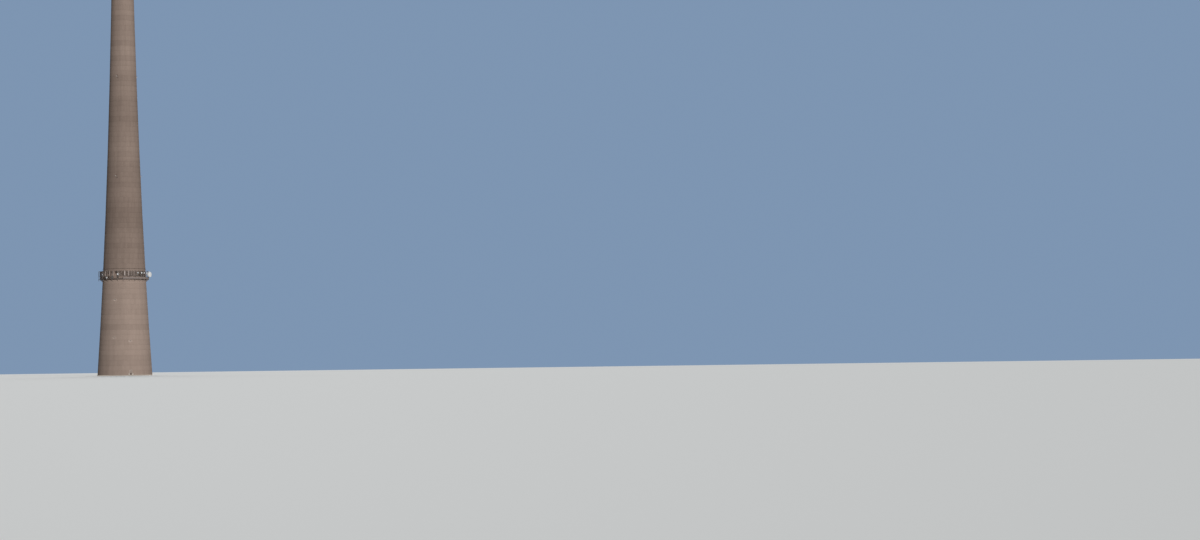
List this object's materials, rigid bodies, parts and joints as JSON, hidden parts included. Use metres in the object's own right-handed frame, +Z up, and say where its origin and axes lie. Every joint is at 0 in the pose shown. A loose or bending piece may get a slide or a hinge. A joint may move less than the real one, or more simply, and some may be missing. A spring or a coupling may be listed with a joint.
{
  "type": "concrete radio tower scale model",
  "caption": "Tall tapered hollow concrete radio tower with a ring gallery of antennas low on the shaft, a room at its head and a stepped mast, as a scale model.",
  "frame": {"origin": "centre of the underside of the base slab, on the shaft's axis", "axes": "+Z up along the shaft's axis, -Y towards the side that the picture shows, +X to its right"},
  "size_m": [2.468, 2.468, 33.04],
  "materials": {
    "concrete": "matte",
    "slab_concrete": "matte",
    "galvanised_steel": "satin",
    "dark_steel": "satin",
    "bracket_paint": "matte",
    "light_panel": "matte",
    "radome_white": "satin",
    "radome_grey": "matte",
    "door_paint": "satin",
    "lamp_red": "gloss",
    "cabinet_grey": "satin",
    "window_glass": "gloss",
    "head_cladding": "matte",
    "mast_skin": "satin",
    "bare_aluminium": "satin"
  },
  "bodies": {
    "root": {"base_slab": "slab_concrete", "shaft_stage_1": "concrete", "shaft_stage_2": "concrete", "shaft_stage_3": "concrete", "shaft_stage_4": "concrete", "shaft_stage_5": "concrete", "gallery_level_floor": "slab_concrete", "entrance_door_frame": "dark_steel", "entrance_door": "door_paint", "gallery_door_frame": "dark_steel", "gallery_door": "door_paint", "window_frames": "galvanised_steel", "window_louvres": "dark_steel", "window_hoods": "light_panel", "obstruction_light_brackets": "galvanised_steel", "obstruction_lights": "lamp_red", "gallery_brackets": "bracket_paint", "gallery_outer_beam": "dark_steel", "gallery_inner_beam": "bracket_paint", "gallery_grating": "dark_steel", "gallery_posts": "dark_steel", "gallery_rails": "dark_steel", "gallery_fascia": "light_panel", "gallery_cross_braces": "dark_steel", "hoop_arms": "dark_steel", "upper_hoop": "dark_steel", "antenna_poles": "galvanised_steel", "pole_clamps": "galvanised_steel", "panel_antennas": "radome_grey", "drum_antennas": "radome_white", "large_drum_antenna": "radome_white", "radio_units": "dark_steel", "antenna_outrigger": "dark_steel", "equipment_cabinets": "cabinet_grey", "head_corbel": "concrete", "head_floor": "slab_concrete", "head_walls": "head_cladding", "head_windows": "window_glass", "head_roof": "slab_concrete", "head_railing": "galvanised_steel", "mast_lattice": "galvanised_steel", "mast_cylinders": "mast_skin", "mast_flanges": "galvanised_steel", "lightning_rod": "bare_aluminium", "top_light": "lamp_red"}
  },
  "joints": []
}
